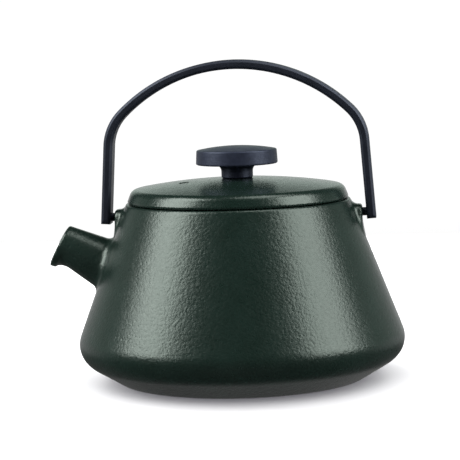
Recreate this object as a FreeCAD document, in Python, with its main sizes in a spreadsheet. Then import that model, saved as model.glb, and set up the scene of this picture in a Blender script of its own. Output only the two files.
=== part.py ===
import FreeCAD, Part
import math
import os
import re
import Sketcher

# Enamelled cast-iron teapot with a swinging bail, a lift-off lid and a steel infuser basket.
# Frame: +Z up, origin at the centre of the flat foot, spout towards -X, bail in the XZ plane.

V = FreeCAD.Vector
FILLET = "PartDesign::Fillet"
CHAMFER = "PartDesign::Chamfer"
PAD = "PartDesign::Pad"
POCKET = "PartDesign::Pocket"
GROOVE = "PartDesign::Groove"

# how closely an edge must lie where it is looked for, and on the curved wall, in mm
NEAR = 0.01
NEAR_WALL = 0.02
# an edge that reaches further than this past a foot or round a root is a long one, in mm
FOOT_MARGIN = 1.0
ROOT_SPREAD = 5.0

doc = FreeCAD.newDocument("Teapot")
sheet = doc.addObject("Spreadsheet::Sheet", "Sizes")

SIZES = [
    # pot casting, a body of revolution
    ("belly_corner_radius", 93.15, "radius of the sharp corner under the belly rounding"),
    ("belly_corner_height", 15.32, "height of that corner"),
    ("belly_round", 13.6, "rounding of the belly"),
    ("foot_radius", 67.85, "radius of the foot before its rounding"),
    ("foot_round", 5.0, "rounding of the foot"),
    ("rim_radius", 61.7, "outer radius of the rim"),
    ("rim_height", 98.0, "height of the rim"),
    ("rim_round", 1.1, "rounding of the rim's outer edge"),
    ("wall", 4.0, "casting thickness"),
    ("floor_thick", 4.5, "thickness of the pot's floor"),
    ("seat_radius", 55.2, "recess that takes the lid's skirt and the infuser's flange"),
    ("seat_height", 93.0, "height of the ledge in the mouth"),
    ("mouth_radius", 50.5, "clear radius of the mouth"),
    ("mouth_ring", 4.0, "depth of the thick ring under the ledge"),
    ("inner_belly_rise", 1.75, "height of the inner belly's corner above the outer one"),
    ("inner_shoulder_drop", 9.0, "height from the ledge down to the corner under its ring"),
    ("cut_margin", 2.0, "how far a cut starts outside the surface it opens"),
    # spout
    ("spout_reach", 99.1, "distance of the spout's mouth centre from the pot's axis"),
    ("spout_height", 77.4, "height of the spout's mouth centre"),
    ("spout_rise", 28.15, "slope of the spout's axis"),
    ("spout_tip_radius", 9.8, "outer radius at the mouth"),
    ("spout_taper", 8.5, "half angle of the spout's outside"),
    ("spout_length", 42.35, "length of the spout, root inside the pot included"),
    ("spout_blend", 4.0, "rounding where the spout joins the wall"),
    ("bore_tip_radius", 7.2, "pouring bore at the mouth"),
    ("bore_root_radius", 11.6, "pouring bore at its inner end"),
    ("lip_radius", 8.6, "radius of the drip lip's disc"),
    ("lip_drop", 5.8, "distance of the lip's centre below the mouth's centre"),
    ("lip_thick", 3.7, "thickness of the drip lip"),
    ("mouth_round", 0.9, "rounding of the mouth's edges"),
    # ears that carry the bail
    ("ear_reach", 68.2, "distance of the ear's outer face from the pot's axis"),
    ("ear_half_width", 7.0, "half width of an ear"),
    ("ear_top", 94.6, "height of the ear's crown"),
    ("ear_bottom", 77.0, "height of the ear's base, sunk in the wall"),
    ("ear_corner", 4.5, "rounding of the ear's upper corners"),
    ("pivot_height", 90.35, "height of the bail's pivot axis"),
    ("pin_radius", 2.3, "radius of the pivot pins"),
    ("pin_clearance", 0.06, "radial running clearance of a pin in its ear"),
    ("socket_reach", 60.5, "distance of the blind end of the ear's socket from the pot's axis"),
    # lid
    ("lid_radius", 61.3, "radius of the lid's lower edge"),
    ("lid_gap", 0.3, "gap between the rim and the lid's lower face"),
    ("lid_edge_angle", 22.0, "slope of the lid's side, from vertical"),
    ("lid_shoulder_height", 105.4, "height of the sharp corner under the shoulder rounding"),
    ("lid_shoulder_round", 4.5, "rounding of the lid's shoulder"),
    ("lid_apex", 110.6, "height of the lid's crown"),
    ("lid_wall", 4.0, "thickness of the lid"),
    ("skirt_radius", 54.6, "outer radius of the lid's locating skirt"),
    ("skirt_wall", 3.4, "thickness of the skirt"),
    ("skirt_bottom", 94.1, "height of the skirt's lower edge"),
    ("vent_radius", 2.2, "radius of the steam vent"),
    ("vent_reach", 28.5, "distance of the vent towards the spout, from the axis"),
    ("vent_side", 10.3, "distance of the vent in front of the bail's plane"),
    # knob and its fixing
    ("knob_radius", 22.55, "radius of the knob's lower edge"),
    ("knob_draft", 0.45, "how much the knob narrows to its upper edge"),
    ("knob_under", 118.2, "height of the knob's underside"),
    ("knob_edge", 126.1, "height of the knob's upper edge"),
    ("knob_apex", 128.3, "height of the knob's crown"),
    ("neck_radius", 8.7, "radius of the knob's neck"),
    ("neck_blend", 4.0, "rounding between neck and underside"),
    ("knob_round", 0.9, "rounding of the knob's edges"),
    ("screw_radius", 2.0, "radius of the knob's screw"),
    ("screw_top", 119.6, "height of the screw's tip"),
    ("screw_bevel", 0.4, "bevel at the screw's tip"),
    ("screw_room", 0.5, "room over the screw's tip in the knob's tapped hole"),
    ("screw_hole_gap", 0.05, "clearance of the screw in the knob's tapped hole"),
    ("lid_hole_radius", 2.6, "hole for the screw in the lid"),
    ("screw_head_radius", 4.0, "radius of the screw's head"),
    ("screw_head_height", 2.4, "height of the screw's head"),
    ("head_round", 0.5, "rounding of the screw's head"),
    ("screw_drive_depth", 1.5, "depth of the socket in the screw's head"),
    ("screw_drive_radius", 1.45, "radius of the socket in the screw's head, across its corners"),
    ("gasket_radius", 8.0, "radius of the soft washer under the lid"),
    ("gasket_thick", 1.4, "thickness of the soft washer"),
    ("gasket_seat", 0.11, "sink of the lid's underside at the soft washer's edge"),
    ("washer_radius", 6.5, "radius of the steel washer"),
    ("washer_thick", 1.0, "thickness of the steel washer"),
    # bail
    ("bail_apex", 172.77, "height of the bar's centre line at the top"),
    ("bail_crown_radius", 89.2, "radius of the bail's crown, to the centre line"),
    ("bail_bend_radius", 26.8, "radius of the bend into each leg, to the centre line"),
    ("bail_lean", 3.85, "lean of the legs towards the pot's axis, going up"),
    ("bail_half_span", 73.04, "distance of a leg's centre line from the axis at the pivot"),
    ("bail_thick", 5.1, "thickness of the bar"),
    ("bail_depth", 13.4, "depth of the bar, front to back"),
    ("bail_chamfer", 1.35, "bevel along the bar's long edges"),
    ("bail_foot", 86.8, "height of the legs' lower ends"),
    ("bail_foot_round", 2.5, "rounding of the legs' lower corners"),
    ("pin_seat", 3.4, "depth of a pin in its leg, from the leg's inner face"),
    ("pin_reach", 61.1, "distance of a pin's inner end from the pot's axis"),
    # infuser basket
    ("basket_radius", 47.5, "outer radius of the basket's wall"),
    ("basket_wall", 0.8, "thickness of the basket's sheet"),
    ("basket_bottom", 36.0, "height of the basket's floor"),
    ("flange_radius", 54.6, "outer radius of the basket's flange"),
    ("flange_thick", 0.8, "thickness of the flange"),
    ("hem_height", 6.0, "height of the plain collar under the flange"),
]
CELLS = {alias: f"{sheet.Name}.{alias}" for alias, _, _ in SIZES}


def fill_sheet():
    for row, (alias, size, note) in enumerate(SIZES, start=1):
        sheet.set(f"A{row}", alias)
        sheet.set(f"B{row}", str(size))
        sheet.set(f"C{row}", note)
        sheet.setAlias(f"B{row}", alias)
    doc.recompute()


fill_sheet()


def number(expression):
    """The value of an expression in the sheet's aliases."""
    return float(sheet.evalExpression(bound(expression)))


def bound(expression):
    """The expression with every alias written as a cell of the sheet."""
    return re.sub(r"[a-z_]{2,}", lambda found: CELLS.get(found.group(), found.group()), expression)


def new_body(name):
    made = doc.addObject("PartDesign::Body", name)
    made.Label = name
    return made


def origin_plane(body, role):
    return [plane for plane in body.Origin.OriginFeatures if plane.Role == role][0]


def new_sketch(body, name, role, offset=None):
    """A sketch on one of the body's own origin planes, raised off it by offset if given."""
    sketch = body.newObject("Sketcher::SketchObject", name)
    sketch.AttachmentSupport = [(origin_plane(body, role), "")]
    sketch.MapMode = "FlatFace"
    if offset is not None:
        sketch.setExpression("AttachmentOffset.Base.z", bound(offset))
    doc.recompute()
    return sketch


def pin_point(sketch, geometry, end, x, y):
    """Ties a point of the sketch to the origin by two expressions, or to an axis by 0."""
    for kind, expression, axis in (("DistanceX", x, -2), ("DistanceY", y, -1)):
        if expression == "0":
            sketch.addConstraint(Sketcher.Constraint("PointOnObject", geometry, end, axis))
            continue
        row = sketch.addConstraint(
            Sketcher.Constraint(kind, -1, 1, geometry, end, number(expression))
        )
        sketch.setExpression(f"Constraints[{row}]", bound(expression))


def rounded(before, corner, after):
    """The two points where an arc of the corner's radius meets the straight sides beside it. A
    radius that starts with - is a corner that points into the outline."""
    x, y, radius = corner
    way_in = f"atan2(({y}) - ({before[1]}); ({x}) - ({before[0]}))"
    way_out = f"atan2(({after[1]}) - ({y}); ({after[0]}) - ({x}))"
    cut = f"({radius}) * tan(({way_out} - {way_in}) / 2)"
    return [
        (f"({x}) - {cut} * cos({way_in})", f"({y}) - {cut} * sin({way_in})"),
        (f"({x}) + {cut} * cos({way_out})", f"({y}) + {cut} * sin({way_out})"),
    ]


def outline(sketch, corners, arcs=None):
    """A closed outline through the corners, counter-clockwise. A corner's third value rounds it.
    arcs gives, for the side after a corner, the radius of the arc that bulges out of the outline
    there, or into it if it starts with -."""
    arcs = arcs or {}
    path = []
    for row, corner in enumerate(corners):
        if len(corner) == 3:
            arrive, leave = rounded(corners[row - 1], corner, corners[(row + 1) % len(corners)])
            path.append((*arrive, corner[2]))
            path.append((*leave, arcs.get(row)))
        else:
            path.append((*corner, arcs.get(row)))
    points = [V(number(x), number(y), 0) for x, y, _ in path]
    ends = []
    for start, stop, (_, _, radius) in zip(points, points[1:] + points[:1], path):
        if radius is None:
            sketch.addGeometry(Part.LineSegment(start, stop), False)
            ends.append((1, 2))
            continue
        radius = number(radius)
        chord = stop - start
        outwards = V(chord.y, -chord.x, 0).normalize()
        to_centre = math.copysign(math.sqrt(radius**2 - chord.Length**2 / 4), -radius)
        centre = (start + stop) / 2 + outwards * to_centre
        ccw = (start, stop) if radius > 0 else (stop, start)
        first, last = (math.atan2(p.y - centre.y, p.x - centre.x) for p in ccw)
        circle = Part.Circle(centre, V(0, 0, 1), abs(radius))
        sketch.addGeometry(Part.ArcOfCircle(circle, first, last), False)
        ends.append((1, 2) if radius > 0 else (2, 1))
    for side, (_, last) in enumerate(ends):
        after = (side + 1) % len(ends)
        sketch.addConstraint(Sketcher.Constraint("Coincident", side, last, after, ends[after][0]))
    for side, (x, y, radius) in enumerate(path):
        pin_point(sketch, side, ends[side][0], x, y)
        if radius is not None:
            row = sketch.addConstraint(Sketcher.Constraint("Radius", side, abs(number(radius))))
            sketch.setExpression(f"Constraints[{row}]", bound(radius.lstrip("-")))
    doc.recompute()


def ring(sketch, x, y, radius):
    """A circle with its centre and radius bound to the sheet."""
    circle = Part.Circle(V(number(x), number(y), 0), V(0, 0, 1), number(radius))
    geometry = sketch.addGeometry(circle, False)
    if x == "0" and y == "0":
        sketch.addConstraint(Sketcher.Constraint("Coincident", geometry, 3, -1, 1))
    else:
        pin_point(sketch, geometry, 3, x, y)
    row = sketch.addConstraint(Sketcher.Constraint("Radius", geometry, number(radius)))
    sketch.setExpression(f"Constraints[{row}]", bound(radius))
    doc.recompute()


def turn_round(body, name, sketch, kind="PartDesign::Revolution"):
    """Turns a sketch on an upright plane all the way round the sketch's vertical axis."""
    turned = body.newObject(kind, name)
    turned.Profile = sketch
    turned.ReferenceAxis = (sketch, ["V_Axis"])
    turned.Angle = 360
    doc.recompute()
    return turned


def extrude(body, name, sketch, kind, length=None, both_ways=False, backwards=False):
    """A pad or pocket whose length is bound to the sheet, or a pocket that goes right through."""
    made = body.newObject(kind, name)
    made.Profile = sketch
    made.Midplane = both_ways
    made.Reversed = backwards
    if length is None:
        made.Type = "ThroughAll"
    else:
        made.setExpression("Length", bound(length))
    doc.recompute()
    return made


def dress(body, name, kind, test, expression):
    """A fillet or a chamfer on the edges of the body's last feature that pass the test."""
    base = body.Tip
    edges = [f"Edge{i}" for i, edge in enumerate(base.Shape.Edges, start=1) if test(edge)]
    made = body.newObject(kind, name)
    made.Base = (base, edges)
    made.setExpression("Radius" if kind == FILLET else "Size", bound(expression))
    doc.recompute()
    return made


def hoop(radius, height):
    """A test for a level circular edge about the Z axis."""
    wanted_radius = number(radius)
    wanted_height = number(height)

    def test(edge):
        box = edge.BoundBox
        if box.ZLength > NEAR or abs(box.ZMin - wanted_height) > NEAR:
            return False
        x, y, _ = edge.valueAt(edge.FirstParameter)
        return abs(math.hypot(x, y) - wanted_radius) < NEAR

    return test


def samples(edge, count=9):
    """Points spread evenly along an edge."""
    first, last = edge.ParameterRange
    return [edge.valueAt(first + (last - first) * i / (count - 1)) for i in range(count)]


# ---------------------------------------------------------------- pot casting
# the conical wall's slope, and its outer and inner radius at a height
WALL_SLOPE = "(belly_corner_radius - rim_radius) / (rim_height - belly_corner_height)"
WALL_OUT = f"rim_radius + (rim_height - (AT)) * {WALL_SLOPE}"
WALL_IN = f"{WALL_OUT} - wall / cos(atan({WALL_SLOPE}))"
INNER_BELLY = "belly_corner_height + inner_belly_rise"
INNER_SHOULDER = "seat_height - inner_shoulder_drop"


def on_wall(point):
    """Whether a point lies on the outside of the conical wall."""
    at_height = WALL_OUT.replace("AT", f"{point.z:.9f}")
    return abs(math.hypot(point.x, point.y) - number(at_height)) < NEAR_WALL


def spout_feature(body, name, kind, sizes, drop="0"):
    """A cone or a cylinder that starts at the spout's mouth, drop below its centre in the
    mouth's plane, and runs back down the spout's axis. Its sizes are bound to the sheet."""
    made = body.newObject(kind, name)
    made.AttachmentSupport = [(origin_plane(body, "XY_Plane"), "")]
    made.MapMode = "FlatFace"
    made.AttachmentOffset = FreeCAD.Placement(V(0, 0, 0), FreeCAD.Rotation(V(0, 1, 0), 90))
    place = {
        "Base.x": f"-spout_reach - ({drop}) * sin(spout_rise * 1 deg)",
        "Base.z": f"spout_height - ({drop}) * cos(spout_rise * 1 deg)",
        "Rotation.Angle": "90 + spout_rise",
    }
    for key, expression in place.items():
        made.setExpression(f"AttachmentOffset.{key}", bound(expression))
    for size, expression in sizes.items():
        made.setExpression(size, bound(expression))
    doc.recompute()
    return made


def spout_root(edge):
    """Whether an edge is the one where the spout leaves the conical wall."""
    box = edge.BoundBox
    around = box.XMax < 0 and box.YLength > ROOT_SPREAD and box.ZMax < number("pivot_height")
    return around and all(on_wall(point) for point in samples(edge))


def at_spout_depth(depth):
    """A test for edges that lie wholly in the plane at a depth behind the spout's mouth."""
    slope = math.radians(number("spout_rise"))
    inwards = V(math.cos(slope), 0, -math.sin(slope))
    centre = V(-number("spout_reach"), 0, number("spout_height"))
    wanted = number(depth)

    def test(edge):
        return all(abs((p - centre).dot(inwards) - wanted) < NEAR for p in samples(edge))

    return test


def add_ear(body, side):
    """One ear, a tab with an upright outer face. side is -1 over the spout, 1 at the rear."""
    name = "front_ear" if side < 0 else "rear_ear"
    sketch = new_sketch(body, f"{name}_outline", "YZ_Plane", f"{side} * ear_reach")
    corner_y = "ear_half_width - ear_corner"
    corner_z = "ear_top - ear_corner"
    outline(
        sketch,
        [
            ("-ear_half_width", "ear_bottom"),
            ("ear_half_width", "ear_bottom"),
            ("ear_half_width", corner_z),
            (corner_y, "ear_top"),
            (f"-({corner_y})", "ear_top"),
            ("-ear_half_width", corner_z),
        ],
        {2: "ear_corner", 4: "ear_corner"},
    )
    extrude(body, name, sketch, PAD, "ear_reach - mouth_radius - wall", backwards=side > 0)


def add_socket(body, side):
    """The blind hole in an ear that a pivot pin turns in."""
    name = "front_socket" if side < 0 else "rear_socket"
    sketch = new_sketch(body, f"{name}_outline", "YZ_Plane", f"{side} * ear_reach")
    ring(sketch, "0", "pivot_height", "pin_radius + pin_clearance")
    extrude(body, name, sketch, POCKET, "ear_reach - socket_reach", backwards=side < 0)


def make_pot():
    pot = new_body("pot_body")
    shell = new_sketch(pot, "pot_outline", "YZ_Plane")
    outline(
        shell,
        [
            ("0", "0"),
            ("foot_radius", "0", "foot_round"),
            ("belly_corner_radius", "belly_corner_height", "belly_round"),
            ("rim_radius", "rim_height", "rim_round"),
            ("0", "rim_height"),
        ],
    )
    turn_round(pot, "pot_turned", shell)
    spout_feature(
        pot,
        "spout_outside",
        "PartDesign::AdditiveCone",
        {
            "Radius1": "spout_tip_radius",
            "Radius2": "spout_tip_radius + spout_length * tan(spout_taper * 1 deg)",
            "Height": "spout_length",
        },
    )
    dress(pot, "spout_root_blend", FILLET, spout_root, "spout_blend")
    for side in (-1, 1):
        add_ear(pot, side)
    spout_feature(
        pot,
        "drip_lip",
        "PartDesign::AdditiveCylinder",
        {"Radius": "lip_radius", "Height": "lip_thick"},
        drop="lip_drop",
    )
    hollow = new_sketch(pot, "hollow_outline", "YZ_Plane")
    outline(
        hollow,
        [
            ("0", "floor_thick"),
            ("foot_radius", "floor_thick", "foot_round"),
            (WALL_IN.replace("AT", INNER_BELLY), INNER_BELLY, "(belly_round - wall)"),
            (WALL_IN.replace("AT", INNER_SHOULDER), INNER_SHOULDER, "mouth_ring"),
            ("mouth_radius", "seat_height - mouth_ring", "-mouth_round"),
            ("mouth_radius", "seat_height", "-mouth_round"),
            ("seat_radius", "seat_height"),
            ("seat_radius", "rim_height + cut_margin"),
            ("0", "rim_height + cut_margin"),
        ],
    )
    turn_round(pot, "hollow", hollow, GROOVE)
    spout_feature(
        pot,
        "spout_bore",
        "PartDesign::SubtractiveCone",
        {
            "Radius1": "bore_tip_radius",
            "Radius2": "bore_root_radius",
            "Height": "spout_length",
        },
    )
    dress(pot, "mouth_rounding", FILLET, at_spout_depth("0"), "mouth_round")
    for side in (-1, 1):
        add_socket(pot, side)
    return pot


# ---------------------------------------------------------------- lid
LID_UNDER = "(rim_height + lid_gap)"
SHOULDER = f"lid_radius - (lid_shoulder_height - {LID_UNDER}) * tan(lid_edge_angle * 1 deg)"
LID_RISE = "(lid_apex - lid_shoulder_height)"
DOME = f"((({SHOULDER}) ^ 2 + {LID_RISE} ^ 2) / (2 * {LID_RISE}))"
INNER_DOME = f"({DOME} - lid_wall)"
SKIRT_IN = "(skirt_radius - skirt_wall)"
SKIRT_TOP = f"lid_apex - {DOME} + sqrt({INNER_DOME} ^ 2 - {SKIRT_IN} ^ 2)"


def make_lid():
    lid = new_body("lid")
    section = new_sketch(lid, "lid_outline", "XZ_Plane")
    outline(
        section,
        [
            ("0", "lid_apex - lid_wall"),
            (SKIRT_IN, SKIRT_TOP),
            (SKIRT_IN, "skirt_bottom"),
            ("skirt_radius", "skirt_bottom", "mouth_round"),
            ("skirt_radius", LID_UNDER),
            ("lid_radius", LID_UNDER, "rim_round"),
            (SHOULDER, "lid_shoulder_height"),
            ("0", "lid_apex"),
        ],
        {0: f"-{INNER_DOME}", 6: DOME},
    )
    turn_round(lid, "lid_turned", section)
    shoulder = hoop(SHOULDER, "lid_shoulder_height")
    dress(lid, "shoulder_rounding", FILLET, shoulder, "lid_shoulder_round")
    holes = new_sketch(lid, "lid_holes", "XY_Plane")
    ring(holes, "0", "0", "lid_hole_radius")
    ring(holes, "-vent_reach", "-vent_side", "vent_radius")
    extrude(lid, "vent_and_screw_hole", holes, POCKET, both_ways=True)
    return lid


# ---------------------------------------------------------------- knob and its fixing
GASKET_TOP = "lid_apex - lid_wall - gasket_seat"
GASKET_BOTTOM = f"{GASKET_TOP} - gasket_thick"
WASHER_BOTTOM = f"{GASKET_BOTTOM} - washer_thick"
HEAD_BOTTOM = f"{WASHER_BOTTOM} - screw_head_height"


def make_knob():
    knob = new_body("lid_knob")
    section = new_sketch(knob, "knob_outline", "XZ_Plane")
    bore = "screw_radius + screw_hole_gap"
    edge = "(knob_radius - knob_draft)"
    rise = "(knob_apex - knob_edge)"
    outline(
        section,
        [
            (bore, "lid_apex"),
            ("neck_radius", "lid_apex", "knob_round"),
            ("neck_radius", "knob_under", "-neck_blend"),
            ("knob_radius", "knob_under", "knob_round"),
            (edge, "knob_edge"),
            ("0", "knob_apex"),
            ("0", "screw_top + screw_room"),
            (bore, "screw_top + screw_room"),
        ],
        {4: f"(({edge} ^ 2 + {rise} ^ 2) / (2 * {rise}))"},
    )
    turn_round(knob, "knob_turned", section)
    dress(knob, "upper_rounding", FILLET, hoop(edge, "knob_edge"), "knob_round")
    return knob


def make_washer(name, radius, bottom, thickness):
    """A flat round washer on the pot's axis."""
    washer = new_body(name)
    section = new_sketch(washer, f"{name}_outline", "XY_Plane", bottom)
    ring(section, "0", "0", radius)
    ring(section, "0", "0", "screw_radius + screw_hole_gap")
    extrude(washer, f"{name}_pad", section, PAD, thickness)
    return washer


def make_screw():
    screw = new_body("knob_screw")
    section = new_sketch(screw, "screw_outline", "XZ_Plane")
    tip = "(screw_radius - screw_bevel)"
    outline(
        section,
        [
            ("0", HEAD_BOTTOM),
            ("screw_head_radius", HEAD_BOTTOM, "head_round"),
            ("screw_head_radius", WASHER_BOTTOM),
            ("screw_radius", WASHER_BOTTOM),
            ("screw_radius", "screw_top - screw_bevel"),
            (tip, "screw_top"),
            ("0", "screw_top"),
        ],
    )
    turn_round(screw, "screw_turned", section)
    drive = new_sketch(screw, "drive_outline", "XY_Plane", HEAD_BOTTOM)
    corners = [
        (f"screw_drive_radius * cos({60 * i} deg)", f"screw_drive_radius * sin({60 * i} deg)")
        for i in range(6)
    ]
    corners[0] = ("screw_drive_radius", "0")
    corners[3] = ("-screw_drive_radius", "0")
    outline(drive, corners)
    extrude(screw, "hexagon_socket", drive, POCKET, "screw_drive_depth", backwards=True)
    return screw


# ---------------------------------------------------------------- bail and its pins
LEAN = "(bail_lean * 1 deg)"
CROWN_CENTRE = "(bail_apex - bail_crown_radius)"
ARC_STEP = "(bail_crown_radius - bail_bend_radius)"
# distance of the leg's centre line from the pot's axis, measured square to the leg
LEG_OFFSET = f"(bail_half_span * cos{LEAN} + pivot_height * sin{LEAN})"
# half the angle that the crown spans
CROWN_ANGLE = (
    f"(asin(({LEG_OFFSET} - bail_bend_radius - {CROWN_CENTRE} * sin{LEAN}) / {ARC_STEP})"
    f" - {LEAN})"
)
BEND_X = f"({ARC_STEP} * sin({CROWN_ANGLE}))"
BEND_Z = f"({CROWN_CENTRE} + {ARC_STEP} * cos({CROWN_ANGLE}))"
INNER_FACE = f"(bail_half_span - bail_thick / 2 / cos{LEAN})"


def bail_side(side, offset):
    """Three corners of the bar's outline, from the foot up, offset from its centre line."""
    crown = f"(bail_crown_radius + {offset})"
    bend = f"(bail_bend_radius + {offset})"
    foot_x = f"({LEG_OFFSET} + {offset} - bail_foot * sin{LEAN}) / cos{LEAN}"
    return [
        (f"{side} * {foot_x}", "bail_foot"),
        (f"{side} * ({BEND_X} + {bend} * cos{LEAN})", f"{BEND_Z} + {bend} * sin{LEAN}"),
        (
            f"{side} * {crown} * sin({CROWN_ANGLE})",
            f"{CROWN_CENTRE} + {crown} * cos({CROWN_ANGLE})",
        ),
    ]


def long_edge(edge):
    """Whether an edge runs along the front or back face of the bar, its feet left out."""
    box = edge.BoundBox
    depth = number("bail_depth / 2")
    in_face = box.YLength < NEAR and abs(abs(box.YMin) - depth) < NEAR
    return in_face and box.ZMax > number("bail_foot") + FOOT_MARGIN


def foot_corner(edge):
    """Whether an edge crosses the bar's thickness at the front or back of a foot."""
    box = edge.BoundBox
    depth = number("bail_depth / 2")
    in_face = box.YLength < NEAR and abs(abs(box.YMin) - depth) < NEAR
    return in_face and box.ZMax < number("bail_foot") + NEAR


def make_bail():
    bail = new_body("bail_handle")
    section = new_sketch(bail, "bail_outline", "XZ_Plane")
    outer = "bail_thick / 2"
    inner = "(-bail_thick / 2)"
    corners = (
        bail_side(1, outer)
        + bail_side(-1, outer)[::-1]
        + bail_side(-1, inner)
        + bail_side(1, inner)[::-1]
    )
    crown = "bail_crown_radius"
    bend = "bail_bend_radius"
    half = "bail_thick / 2"
    arcs = {1: f"({bend} + {half})", 2: f"({crown} + {half})", 3: f"({bend} + {half})"}
    arcs.update({7: f"-({bend} - {half})", 8: f"-({crown} - {half})", 9: f"-({bend} - {half})"})
    outline(section, corners, arcs)
    extrude(bail, "bail_bar", section, PAD, "bail_depth", both_ways=True)
    dress(bail, "foot_corners", FILLET, foot_corner, "bail_foot_round")
    dress(bail, "long_bevels", CHAMFER, long_edge, "bail_chamfer")
    for side in (-1, 1):
        name = "front_pin_seat" if side < 0 else "rear_pin_seat"
        start = f"{side} * ({INNER_FACE} - cut_margin)"
        seat = new_sketch(bail, f"{name}_outline", "YZ_Plane", start)
        ring(seat, "0", "pivot_height", "pin_radius")
        extrude(bail, name, seat, POCKET, "pin_seat + cut_margin", backwards=side > 0)
    return bail


def make_pin(name, side):
    """A pivot pin, pressed into a leg and running in an ear. side is -1 over the spout."""
    pin = doc.addObject("Part::Cylinder", name)
    pin.Label = name
    pin.setExpression("Radius", bound("pin_radius"))
    pin.setExpression("Height", bound(f"{INNER_FACE} + pin_seat - pin_reach"))
    pin.Placement = FreeCAD.Placement(V(0, 0, 0), FreeCAD.Rotation(V(0, 1, 0), 90 * side))
    pin.setExpression("Placement.Base.x", bound(f"{side} * pin_reach"))
    pin.setExpression("Placement.Base.z", bound("pivot_height"))
    return pin


# ---------------------------------------------------------------- infuser basket
BASKET_IN = "(basket_radius - basket_wall)"


def make_turned(name, corners):
    """A sheet-metal ring or disc, turned from its section."""
    turned = new_body(name)
    section = new_sketch(turned, f"{name}_outline", "XZ_Plane")
    outline(section, corners)
    turn_round(turned, f"{name}_turned", section)
    return turned


def make_infuser():
    rim = make_turned(
        "infuser_rim",
        [
            (f"{BASKET_IN} - basket_wall", "seat_height - hem_height"),
            (BASKET_IN, "seat_height - hem_height"),
            (BASKET_IN, "seat_height"),
            ("flange_radius", "seat_height"),
            ("flange_radius", "seat_height + flange_thick"),
            (f"{BASKET_IN} - basket_wall", "seat_height + flange_thick"),
        ],
    )
    wall = make_turned(
        "infuser_wall",
        [
            (BASKET_IN, "basket_bottom"),
            ("basket_radius", "basket_bottom"),
            ("basket_radius", "seat_height"),
            (BASKET_IN, "seat_height"),
        ],
    )
    floor = make_turned(
        "infuser_floor",
        [
            ("0", "basket_bottom"),
            (BASKET_IN, "basket_bottom"),
            (BASKET_IN, "basket_bottom + basket_wall"),
            ("0", "basket_bottom + basket_wall"),
        ],
    )
    return [rim, wall, floor]


# ---------------------------------------------------------------- the whole teapot
def make_all():
    parts = [
        make_pot(),
        make_lid(),
        make_knob(),
        make_washer("knob_gasket", "gasket_radius", GASKET_BOTTOM, "gasket_thick"),
        make_washer("knob_washer", "washer_radius", WASHER_BOTTOM, "washer_thick"),
        make_screw(),
        make_bail(),
        make_pin("front_bail_pin", -1),
        make_pin("rear_bail_pin", 1),
    ]
    parts += make_infuser()
    doc.recompute()
    return parts


def check(parts):
    for made in doc.Objects:
        if "Invalid" in made.State or "Error" in made.State:
            raise RuntimeError(f"{made.Name} failed: {made.State}")
    for made in parts:
        shape = made.Shape
        if shape.isNull() or not shape.isValid() or len(shape.Solids) != 1:
            raise RuntimeError(f"{made.Label} is not one valid solid")
        print(f"{made.Label:16s} {shape.Volume / 1000:9.3f} cm3")


def export(parts):
    os.makedirs("parts", exist_ok=True)
    for made in parts:
        made.Shape.exportStep(f"parts/{made.Label}.step")


parts = make_all()
check(parts)
export(parts)
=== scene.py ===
import math

import bpy
import numpy as np
from mathutils import Matrix, Vector, noise
from mathutils.geometry import delaunay_2d_cdt


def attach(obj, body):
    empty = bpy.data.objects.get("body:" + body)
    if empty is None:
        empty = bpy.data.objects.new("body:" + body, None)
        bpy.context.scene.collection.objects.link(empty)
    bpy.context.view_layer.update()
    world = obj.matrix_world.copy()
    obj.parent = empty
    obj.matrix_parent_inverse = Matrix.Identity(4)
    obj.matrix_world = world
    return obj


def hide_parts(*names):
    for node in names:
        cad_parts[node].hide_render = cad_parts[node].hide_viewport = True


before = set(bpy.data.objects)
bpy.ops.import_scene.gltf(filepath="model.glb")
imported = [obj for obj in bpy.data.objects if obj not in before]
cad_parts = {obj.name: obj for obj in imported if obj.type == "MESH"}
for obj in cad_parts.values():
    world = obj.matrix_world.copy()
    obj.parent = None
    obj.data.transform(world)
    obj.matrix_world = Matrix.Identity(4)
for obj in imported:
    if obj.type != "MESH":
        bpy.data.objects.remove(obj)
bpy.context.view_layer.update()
scene = bpy.context.scene
scene.view_settings.view_transform = "Standard"

# Sizes are millimetres here. A mesh is scaled to metres when it is made.
MM = 0.001
# a point nearer to the axis than this is on it
ON_AXIS = 1e-6

# pot casting: the foot, belly and rim are corners given as (radius, height, rounding)
WALL = 4.0
FOOT = (67.85, 0.0, 5.0)
BELLY = (93.15, 15.32, 13.6)
RIM = (61.7, 98.0, 1.1)
FLOOR = 4.5
SEAT_RADIUS, SEAT_HEIGHT = 55.2, 93.0
MOUTH_RADIUS, MOUTH_RING, MOUTH_ROUND = 50.5, 4.0, 0.9
INNER_BELLY_RISE, INNER_SHOULDER_DROP = 1.75, 9.0
RIM_INNER_ROUND, LEDGE_ROUND = 0.5, 0.4
CUT_ABOVE_RIM = 6.0
POT_CELL, POT_SKIN = 1.03, 0.02
# spout
SPOUT_MOUTH = np.array([-99.1, 0.0, 77.4])
SPOUT_RISE = math.radians(28.15)
SPOUT_TIP, SPOUT_TAPER = 9.8, math.radians(8.5)
SPOUT_LENGTH = 42.35
BORE_TIP, BORE_ROOT = 7.2, 11.6
LIP_RADIUS, LIP_DROP, LIP_THICK, LIP_BLEND = 8.6, 5.8, 3.7, 0.9
WEB_STEP = 1.3
ROOT_BLEND_TOP, ROOT_BLEND_BOTTOM = 4.6, 3.0
# ears
EAR_REACH, EAR_HALF, EAR_TOP, EAR_BOTTOM, EAR_CORNER = 68.2, 7.0, 94.6, 77.0, 4.5
EAR_ROUND, EAR_BLEND = 1.5, 2.6
PIVOT = 90.35
SOCKET_RADIUS, SOCKET_REACH, SOCKET_EDGE = 2.36, 60.5, 0.25
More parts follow.
